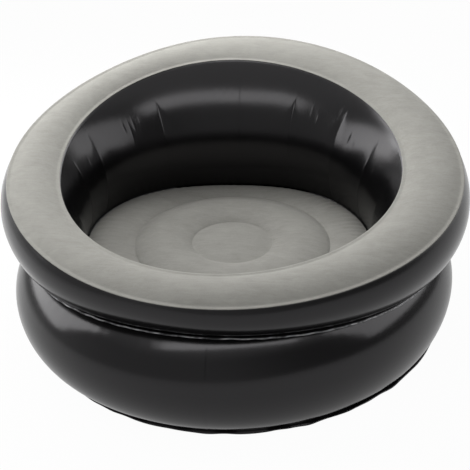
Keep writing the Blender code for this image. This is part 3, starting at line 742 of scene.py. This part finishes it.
def crease_pull(grid, along, radius):
    """Depth of the well wall's creases and small wrinkles. A crease is a wide hollow and a narrow fold
    at its bottom. It starts at a point, is deepest just below it, and dies out towards the foot."""
    pull = np.zeros_like(grid)
    for degrees, strength, start in CREASES:
        aside = turned_by(grid, np.radians(degrees)) * radius
        below = np.clip(along - start, 0, 1)
        fading = (0.35 + 0.65 * np.exp(-below / 0.28)) * eased((1 - along) / 0.12)
        spread = CREASE_REACH * (0.25 + 0.75 * eased(below / 0.30))
        hollow = CREASE_DEPTH * np.exp(-((aside / spread) ** 2)) * eased(below / 0.22)
        fold = FOLD_DEPTH * np.exp(-np.abs(aside / FOLD_REACH) ** 1.5) * eased(below / 0.05)
        pull += strength * (hollow + fold) * fading
    for degrees, strength, start, reach in WRINKLES:
        aside = turned_by(grid, np.radians(degrees)) * radius
        below = (along - start) / reach
        length = np.where((below > 0) & (below < 1), np.sin(np.pi * np.clip(below, 0, 1)), 0.0)
        pull += WRINKLE_DEPTH * strength * np.exp(-((aside / WRINKLE_REACH) ** 2)) * length
    return pull


def lining_ends(angle):
    """The lining's weld at the mouth, and its foot, which stands a little outside the seat's edge."""
    mouth = mouth_weld(angle)
    _, into_tube = cover_directions(rim_weld(angle), mouth)
    return mouth + into_tube * FLOCKED_PLY, seat_edge(angle, SEAT_HEIGHT) + OUT * 0.004


def lining_section(angle, way):
    """The lining from the mouth weld down to the seat's edge, before its creases."""
    high, foot = lining_ends(angle)
    return bow(high, foot, WELL_BULGE_SHARE + uneven(angle, WELL_SHARE_CHANGE), way)


def well_wall():
    """The lining: its lap under the cover, its creased wall, and its lap under the seat."""
    places = [fold[0] for fold in CREASES + WRINKLES] + list(WELL_SEAMS)
    angle = round_the_chair(600, places)
    way = np.linspace(0.0, 1.0, 44)
    inward, _ = cover_directions(rim_weld(angle), mouth_weld(angle))
    high, foot = lining_ends(angle)
    lap = high[:, None, :] - inward[:, None, :] * np.linspace(LAP, 0.0, 4)[:-1, None]
    wall = lining_section(angle, way)
    grid, along = spread(angle, way)
    pull = crease_pull(grid, along, wall[..., 0])
    slow = 0.0010 * waves(grid, 55, 3, 12, 6) * np.sin(np.pi * along) ** 2
    pucker = 0.0009 * side_wrinkles(grid, along, 51, 0.05)
    pucker += 0.0012 * side_wrinkles(grid, 1 - along, 53, 0.06)
    ends = np.sin(np.pi * np.clip(along, 0, 1)) ** 0.5
    seams = sum(seam_step(grid, degrees) for degrees in WELL_SEAMS)
    wall = moved(wall, pull + slow - (pucker + seams) * ends)
    under = straight(seat_weld(angle) - OUT * LAP, foot, 6)[:, ::-1]
    section = np.concatenate([lap, wall, under], 1)
    covers = ["well_wall_left", "well_wall_right"]
    skin("well_lining", angle, section, WALL, "well_vinyl", covers)


def patch(name, points, node):
    """An inner sheet through an open grid of points."""
    rows, steps = points.shape[:2]
    here = np.arange(rows - 1)[:, None] * steps + np.arange(steps - 1)
    faces = np.stack([here, here + steps, here + steps + 1, here + 1], -1).reshape(-1, 4).tolist()
    verts = points.reshape(-1, 3)
    finished(name, verts, faces, WALL, "inner", [node], "chair")


def wall_tie(number, degrees):
    """A web from the lining, behind its crease, to the tube's side: straight lines across, with a
    slack ripple sideways that is nothing at its two welds."""
    angle = np.radians([float(degrees)])
    way = np.linspace(*TIE_SPAN, 30)
    across = np.linspace(0.0, 1.0, 16)[:, None, None]
    lining, side = lining_section(angle, way), tube_section(angle, way)
    behind = crease_pull(*spread(angle, way), lining[..., 0]) + TIE_SLACK
    inner = moved(lining, behind)
    outer = moved(side, np.full(behind.shape, TIE_SLACK))[:, ::-1]
    web = upright(angle, inner) * (1 - across) + upright(angle, outer) * across
    aside = np.array([np.cos(angle[0]), -np.sin(angle[0]), 0.0])
    ripple = TIE_RIPPLE * np.sin(np.pi * across) * np.sin(3 * np.pi * way[None, :, None] + number)
    patch(f"tie_web_{number:02d}", web + aside * ripple, f"wall_tie_{number:02d}")


def seam_strip(name, degrees, node):
    """A strip behind a seam of the lining, a lap wide to each side."""
    reach = LAP / STRIP_RADIUS
    angle = np.radians(degrees) + np.linspace(-reach, reach, 9)
    way = np.linspace(*STRIP_SPAN, 40)
    back = moved(lining_section(angle, way), np.full((len(angle), len(way)), STRIP_GAP))
    patch(name, upright(angle, back), node)


def divider():
    """The sheet between the air chambers. Its cut edge stands a little out of the waist fin, and its
    pale stretches are a painted highlight for the glints along the fin.
    """
    angle = round_the_chair(780)
    inner, waist = seat_weld(angle) - UP * PLY, waist_weld(angle)
    lap, middle = straight(inner - OUT * LAP, inner, 2), straight(inner, waist, 8)
    section = np.concatenate([lap, middle, waist[:, None, :], fin_line(angle, waist, FIN_EDGE)], 1)
    sheet = skin("divider_sheet", angle, section, WALL, "inner", ["chamber_divider"])
    # the last two rows, the cut edge, take the pale paint: a painted highlight
    sheet.data.materials.append(FINISHES["glint_painted_edge"])
    strips = section.shape[1] - 1
    row = np.arange(len(sheet.data.polygons)) % strips
    sheet.data.polygons.foreach_set("material_index", (row >= strips - 2).astype(np.int32))


def seat_top():
    """The flocked seat: a pleated outer ring, a middle ring and a crowned centre, between its welds."""
    angle = round_the_chair(760)
    level = SEAT_HEIGHT + FLOCKED_PLY
    edge = seat_edge(angle, level) + OUT * 0.0009 * waves(angle, 63, 60, 110, 12)[:, None]
    outer = weld(angle, OUTER_BAND_RADIUS, OUTER_BAND_RADIUS, BAND_SET_BACK, level)
    inner = weld(angle, INNER_BAND_RADIUS, INNER_BAND_RADIUS, BAND_SET_BACK, level)
    way = np.linspace(0.0, 1.0, 26)
    grid, along = spread(angle, way)
    strong = 0.25 + 0.75 * np.exp(-((turned_by(grid, np.radians(52)) / 0.55) ** 2))
    zone = full_bow(edge, outer + OUT * 0.004, OUTER_CROWN_SHARE, way, 0.25 + 0 * way)
    pleat = SEAT_PLEAT * strong * waves(grid, 61, 60, 110, 14) * np.exp(-((along - 0.10) / 0.42) ** 2)
    zone = moved(zone, -pleat * np.sin(np.pi * along) ** 0.4)
    middle = full_bow(outer, inner + OUT * 0.003, MIDDLE_CROWN_SHARE, way, 0.2 + 0 * way)
    pull = 0.0009 * waves(grid, 65, 30, 70, 12) * (np.exp(-along / 0.15) + np.exp(-(1 - along) / 0.15))
    middle = moved(middle, -pull * np.sin(np.pi * along) ** 0.5)
    inward = np.linspace(0.0, 1.0, 12)[:, None]
    centre = np.array([0.0, level])
    rise = CENTRE_CROWN_SHARE * 2 * INNER_BAND_RADIUS
    cap = inner[:, None, :] * (1 - inward) + centre * inward + UP * rise * (1 - (1 - inward) ** 2)
    section = np.concatenate([zone, middle, cap], 1)
    # the seat wears the darkened flock, a painted shade
    seat = skin("seat_cushion", angle, section, FLOCKED_WALL, "shade_darkened_seat_flock", ["seat_top"], True)


def without_spares(points, quads):
    """The points that the faces use, and the faces numbered by them, with repeated corners left out."""
    used, renumbered = np.unique(quads, return_inverse=True)
    faces = [tuple(dict.fromkeys(face)) for face in renumbered.reshape(-1, 4).tolist()]
    return points.reshape(-1, 3)[used], faces


def seat_band(name, radius, rounds, vents, vent_radius, node):
    """An upright ring from the floor sheet to the seat, with its laps turned outward. Round each vent
    the grid is drawn in: the last of the moved squares stays, the last of the vent's squares becomes
    its circle, and what that holds is left out."""
    low, high, rows = WALL / 2 + PLY, SEAT_HEIGHT, BAND_ROWS
    number = np.arange(rounds)[:, None] + np.zeros(rows)
    cell = np.array([2 * np.pi * radius / rounds, (high - low) / (rows - 1)])
    change, square = np.zeros((rounds, rows, 2)), np.full((rounds, rows), float(rounds))
    above = np.arange(rows) - rows // 2 + 0 * number
    for vent in range(vents):
        middle = round(rounds * (0.25 - (vent + 0.5) / vents))
        aside = (number - middle + rounds // 2) % rounds - rounds // 2
        near_it = np.maximum(abs(aside), abs(above))
        steps = np.stack([aside, above], -1) * cell
        towards = steps / np.maximum(np.linalg.norm(steps, axis=-1, keepdims=True), 1e-9)
        drawn = np.clip((MOVED_SQUARES - near_it) / (MOVED_SQUARES - VENT_SQUARES), 0, 1)
        change += (towards * vent_radius - steps) * drawn[..., None]
        square = np.minimum(square, near_it)
    turn = number * 2 * np.pi / rounds + change[..., 0] / radius
    level = np.linspace(low, high, rows) + change[..., 1]
    slack = BAND_SLACK * np.sin(np.pi * (level - low) / (high - low))
    slack *= 1 + 0.4 * waves(turn, 71, 5, 18, 6)
    turn, level = np.pad(turn, ((0, 0), (1, 1)), "edge"), np.pad(level, ((0, 0), (1, 1)), "edge")
    reach = np.pad(radius - slack, ((0, 0), (1, 1)), constant_values=radius + BAND_LAP)
    points = np.stack([reach * np.sin(turn), BAND_SET_BACK + reach * np.cos(turn), level], -1)
    place = np.arange(rounds * (rows + 2)).reshape(rounds, rows + 2)
    after = np.roll(place, -1, 0)
    quads = np.stack([place[:, :-1], after[:, :-1], after[:, 1:], place[:, 1:]], -1)
    ring = np.pad(square, ((0, 0), (1, 1)), constant_values=rounds)
    beside = np.roll(ring, -1, 0)
    farthest = np.maximum.reduce([ring[:, :-1], ring[:, 1:], beside[:, :-1], beside[:, 1:]])
    verts, faces = without_spares(points, quads[farthest > VENT_SQUARES])
    finished(name, verts, faces, WALL, "inner", [node], "chair")


# Valves, in their own frame: X along the hinges, Y towards the cap's hinge, Z out of the chamber

def turned(*profile):
    """Points and faces of a profile of radius and height, turned round the valve's axis. One that
    starts on the axis ends on it, and any other joins its own start. It runs outward at the top."""
    radius, height = np.array(profile).T
    turn = np.linspace(0.0, 2 * np.pi, VALVE_SIDES, endpoint=False)[:, None]
    points = np.stack([radius * np.cos(turn), radius * np.sin(turn), height + 0 * turn], -1)
    place = np.arange(points[..., 0].size).reshape(VALVE_SIDES, -1)
    place[:, radius == 0] = place[0, radius == 0]
    if radius[0] > 0:
        place = np.hstack([place, place[:, :1]])
    after = np.roll(place, -1, 0)
    quads = np.stack([place[:, :-1], place[:, 1:], after[:, 1:], after[:, :-1]], -1)
    return without_spares(points, quads)


def ridge(radii, level, height):
    """Profile of a bead on a level face, or of a groove in it where the height is negative."""
    return tuple(zip(radii, (level, level + height, level + height, level)))


def block(low, high):
    """Points and faces of a block between two corners."""
    corner = np.array([(x, y, z) for z in (0, 1) for y in (0, 1) for x in (0, 1)])
    faces = [(0, 2, 3, 1), (4, 5, 7, 6), (0, 1, 5, 4), (2, 6, 7, 3), (0, 4, 6, 2), (1, 3, 7, 5)]
    return np.array(low) + corner * (np.array(high) - np.array(low)), faces


def valve_axes(chamber):
    """The valve's axes as columns, and its origin, from the frame's hinges of the stopper and the cap."""
    hinges = {joint["name"]: joint for joint in frame["joints"]}
    stopper, cap = hinges[f"{chamber}_stopper_hinge"], hinges[f"{chamber}_cap_hinge"]
    x_axis = np.array(stopper["axis"])
    span = np.array(cap["pos_m"]) - np.array(stopper["pos_m"])
    across, up = CAP_HINGE[0] - STOPPER_HINGE[0], CAP_HINGE[1] - STOPPER_HINGE[1]
    y_axis = (across * span - up * np.cross(x_axis, span)) / (span @ span)
    axes = np.stack([x_axis, y_axis, np.cross(x_axis, y_axis)], 1)
    return axes, np.array(stopper["pos_m"]) - axes @ np.array([0.0, *STOPPER_HINGE])


def valve_piece(chamber, part, body, finish, slot, *shells):
    """One moulded piece of a valve, made of shells. A small bevel rounds all its edges."""
    axes, origin = valve_axes(chamber)
    verts, faces = np.zeros((0, 3)), []
    for points, shell in shells:
        faces += [tuple(len(verts) + corner for corner in face) for face in shell]
        verts = np.vstack([verts, points])
    node = f"{chamber}_valve_{part}"
    piece = finished(f"{node}_moulding", verts @ axes.T + origin, faces, 0, finish, [node], body)
    rounding = piece.modifiers.new("rounding", "BEVEL")
    rounding.width, rounding.segments = VALVE_ROUNDING, 3
    rounding.limit_method, rounding.angle_limit = "ANGLE", float(np.radians(35))
    rounding.harden_normals = True


def valve(chamber):
    """A valve: body with its socket, stopper in it, cap in the stopper's throat, and flap under that."""
    outer, half = SOCKET_RADIUS + SOCKET_WALL, STRAP_WIDTH / 2
    near = STOPPER_HINGE[0] - HINGE_GAP / 2
    valve_piece(
        chamber, "body", "chair", "moulded", "moulded",
        turned((SOCKET_RADIUS, SOCKET_TOP), (outer, SOCKET_TOP), (outer, FLANGE_TOP),
               *ridge(GROOVE_RADII, FLANGE_TOP, -GROOVE_DEPTH), (VALVE_FLANGE_RADIUS, FLANGE_TOP),
               (VALVE_FLANGE_RADIUS, WELD_GAP), (outer, WELD_GAP), (outer, -SOCKET_DEPTH),
               (SOCKET_RADIUS, -SOCKET_DEPTH)),
        block((-half, near - LUG_LENGTH, FLANGE_TOP - JOIN_OVERLAP), (half, near, STOPPER_HINGE[1])),
    )
    far = CAP_HINGE[0] + HINGE_GAP / 2
    valve_piece(
        chamber, "stopper", f"{chamber}_stopper", "moulded", "moulded",
        turned((THROAT_RADIUS, RIM_TOP), *ridge(BEAD_RADII, RIM_TOP, BEAD_HEIGHT),
               (STOPPER_RIM_RADIUS, RIM_TOP),
               (STOPPER_RIM_RADIUS, RIM_UNDERSIDE), (STOPPER_RADIUS, RIM_UNDERSIDE),
               (STOPPER_RADIUS, SOCKET_TOP), (STOPPER_END_RADIUS, STOPPER_BOTTOM),
               (THROAT_RADIUS, STOPPER_BOTTOM)),
        block((-half, STOPPER_HINGE[0] + HINGE_GAP / 2, RIM_UNDERSIDE),
              (half, -(STOPPER_RIM_RADIUS - 2 * STRAP_THICKNESS), STOPPER_HINGE[1])),
        block((-half, far, RIM_TOP - JOIN_OVERLAP), (half, far + LUG_LENGTH, CAP_HINGE[1])),
        block((-half / 2, FLAP_HINGE[0] + HINGE_GAP / 2, FLAP_TOP - FLAP_THICKNESS),
              (half / 2, STOPPER_END_RADIUS - HINGE_GAP, STOPPER_BOTTOM + JOIN_OVERLAP)),
    )
    plug = CAP_RADIUS - CAP_DRAFT
    valve_piece(
        chamber, "cap", f"{chamber}_cap", "moulded", "moulded",
        turned((0.0, CAP_TOP - DISH_DEPTH), (DISH_RADII[0], CAP_TOP - DISH_DEPTH),
               (DISH_RADII[1], CAP_TOP), (CAP_RIM_RADIUS, CAP_TOP),
               (CAP_RIM_RADIUS, CAP_UNDERSIDE), (CAP_RADIUS, CAP_UNDERSIDE), (plug, CAP_BOTTOM),
               (plug - CAP_WALL, CAP_BOTTOM), (plug - CAP_WALL, CAP_UNDERSIDE),
               (0.0, CAP_UNDERSIDE)),
        block((-half, CAP_RIM_RADIUS - 2 * STRAP_THICKNESS, CAP_UNDERSIDE),
              (half, CAP_HINGE[0] - HINGE_GAP / 2, CAP_HINGE[1])),
        block((-FINGER_TAB_WIDTH / 2, -(CAP_RIM_RADIUS + STRAP_LENGTH), CAP_TOP - STRAP_THICKNESS),
              (FINGER_TAB_WIDTH / 2, -(CAP_RIM_RADIUS - 2 * STRAP_THICKNESS), CAP_TOP - STRAP_THICKNESS / 4)),
    )
    valve_piece(
        chamber, "flap", f"{chamber}_flap", "film", "flap_film",
        turned((0.0, FLAP_TOP), (FLAP_RADIUS, FLAP_TOP), (FLAP_RADIUS, FLAP_TOP - FLAP_THICKNESS),
               (0.0, FLAP_TOP - FLAP_THICKNESS)),
    )


def studio():
    """A pale floor, a soft room with a lighter backdrop and ceiling, and four softboxes round the
    chair. The front and right ones show in its gloss only."""
    corner = 6.0
    mesh = bpy.data.meshes.new("floor")
    mesh.from_pydata(
        [(-corner, -corner, 0), (corner, -corner, 0), (corner, corner, 0), (-corner, corner, 0)],
        [], [(0, 1, 2, 3)],
    )
    floor = bpy.data.objects.new("floor", mesh)
    floor.location.z = -0.0002
    bpy.context.scene.collection.objects.link(floor)
    made = bpy.data.materials.new("pale_floor")
    graph = Graph(made)
    seen = graph.node("ShaderNodeLightPath", {}, [], "Is Camera Ray")
    mirrored = graph.node("ShaderNodeLightPath", {}, [], "Is Glossy Ray")
    white = graph.node("ShaderNodeEmission", {}, {"Color": (1, 1, 1, 1), "Strength": 1.0})
    matt = graph.node("ShaderNodeBsdfDiffuse", {}, {"Color": (0.72, 0.72, 0.72, 1)})
    share = (seen * 0.97 + mirrored * 0.60).clamped()
    mixed = graph.node("ShaderNodeMixShader", {}, [share, matt, white])
    graph.node("ShaderNodeOutputMaterial", {}, {"Surface": mixed})
    mesh.materials.append(made)

    world = bpy.data.worlds.new("studio")
    bpy.context.scene.world = world
    graph = Graph(world)
    here = graph.node("ShaderNodeTexCoord", {}, [], "Generated")
    height = graph.node("ShaderNodeSeparateXYZ", {}, [here], "Z")

    def step(value, start, end):
        smooth = {"interpolation_type": "SMOOTHSTEP"}
        return graph.node("ShaderNodeMapRange", smooth, [value, start, end, 0.0, 1.0])

    def toward(direction):
        product = {"operation": "DOT_PRODUCT"}
        return graph.node("ShaderNodeVectorMath", product, [here, direction], "Value")

    backdrop = step(toward((-0.70, 0.71, 0.0)), 0.1, 0.9) * step(height, 0.75, 0.25)
    front = step(toward((-0.6, -0.8, 0.0)), 0.0, 0.9) * step(height, 0.95, 0.6)
    ceiling = step(height, 0.55, 0.95)
    strength = 0.20 + backdrop * 0.18 + ceiling * 0.55 + front * 0.26
    camera = graph.node("ShaderNodeLightPath", {}, [], "Is Camera Ray")
    level = strength * (1 - camera) + camera
    sky = graph.node("ShaderNodeBackground", {}, {"Color": (1, 1, 1, 1), "Strength": level})
    graph.node("ShaderNodeOutputWorld", {}, {"Surface": sky})
    softbox("back_softbox", (-0.20, 0.98, 1.36), 1.4, 0.9, 4.6)
    softbox("front_softbox", (0.12, -1.00, 1.68), 1.9, 0.50, 3.0).visible_diffuse = False
    softbox("left_softbox", (-1.50, 0.45, 0.98), 1.9, 1.15, 3.5)
    softbox("right_softbox", (1.50, 0.35, 1.08), 2.3, 1.25, 2.0).visible_diffuse = False


def softbox(name, place, width, height, brightness):
    """A rectangular lamp that faces the chair. Its power is pi times its area times its brightness."""
    lamp = bpy.data.lights.new(name, "AREA")
    lamp.shape = "RECTANGLE"
    lamp.size, lamp.size_y = width, height
    lamp.energy = float(np.pi) * width * height * brightness
    holder = bpy.data.objects.new(name, lamp)
    bpy.context.scene.collection.objects.link(holder)
    facing = (Vector(place) - Vector((0.0, 0.0, 0.25))).to_track_quat("Z", "Y")
    holder.matrix_world = Matrix.Translation(place) @ facing.to_matrix().to_4x4()
    holder.visible_camera = False
    return holder


def camera():
    """The photograph's view: turned about the target, raised, and rolled a little."""
    yaw, raised, roll = np.radians([VIEW_YAW, VIEW_ELEVATION, VIEW_ROLL])
    back = Vector((np.sin(yaw) * np.cos(raised), -np.cos(yaw) * np.cos(raised), np.sin(raised)))
    right = Vector((0, 0, 1)).cross(back).normalized()
    up = back.cross(right)
    lens = bpy.data.cameras.new("camera")
    lens.angle = float(np.radians(VIEW_ANGLE))
    holder = bpy.data.objects.new("camera", lens)
    bpy.context.scene.collection.objects.link(holder)
    axes = (
        right * float(np.cos(roll)) + up * float(np.sin(roll)),
        up * float(np.cos(roll)) - right * float(np.sin(roll)),
        back,
    )
    holder.matrix_world = Matrix.Translation(
        Vector(VIEW_TARGET) + back * VIEW_DISTANCE
    ) @ Matrix(axes).transposed().to_4x4()
    bpy.context.scene.camera = holder


bpy.context.scene.view_settings.view_transform = "Standard"
camera()
studio()
floor_sheet()
drum_side()
tube_side()
rim_cover()
well_wall()
divider()
seat_top()
for tie, (place, _, _) in enumerate(TIES, start=1):
    wall_tie(tie, place)
seam_strip("strip_behind_back_seam", WELL_SEAMS[0], "back_seam_strip")
seam_strip("strip_behind_front_seam", WELL_SEAMS[1], "front_seam_strip")
seat_band("outer_band", OUTER_BAND_RADIUS, 360, 6, OUTER_VENT_RADIUS, "outer_seat_band")
seat_band("inner_band", INNER_BAND_RADIUS, 192, 4, INNER_VENT_RADIUS, "inner_seat_band")
valve("drum")
valve("tube")
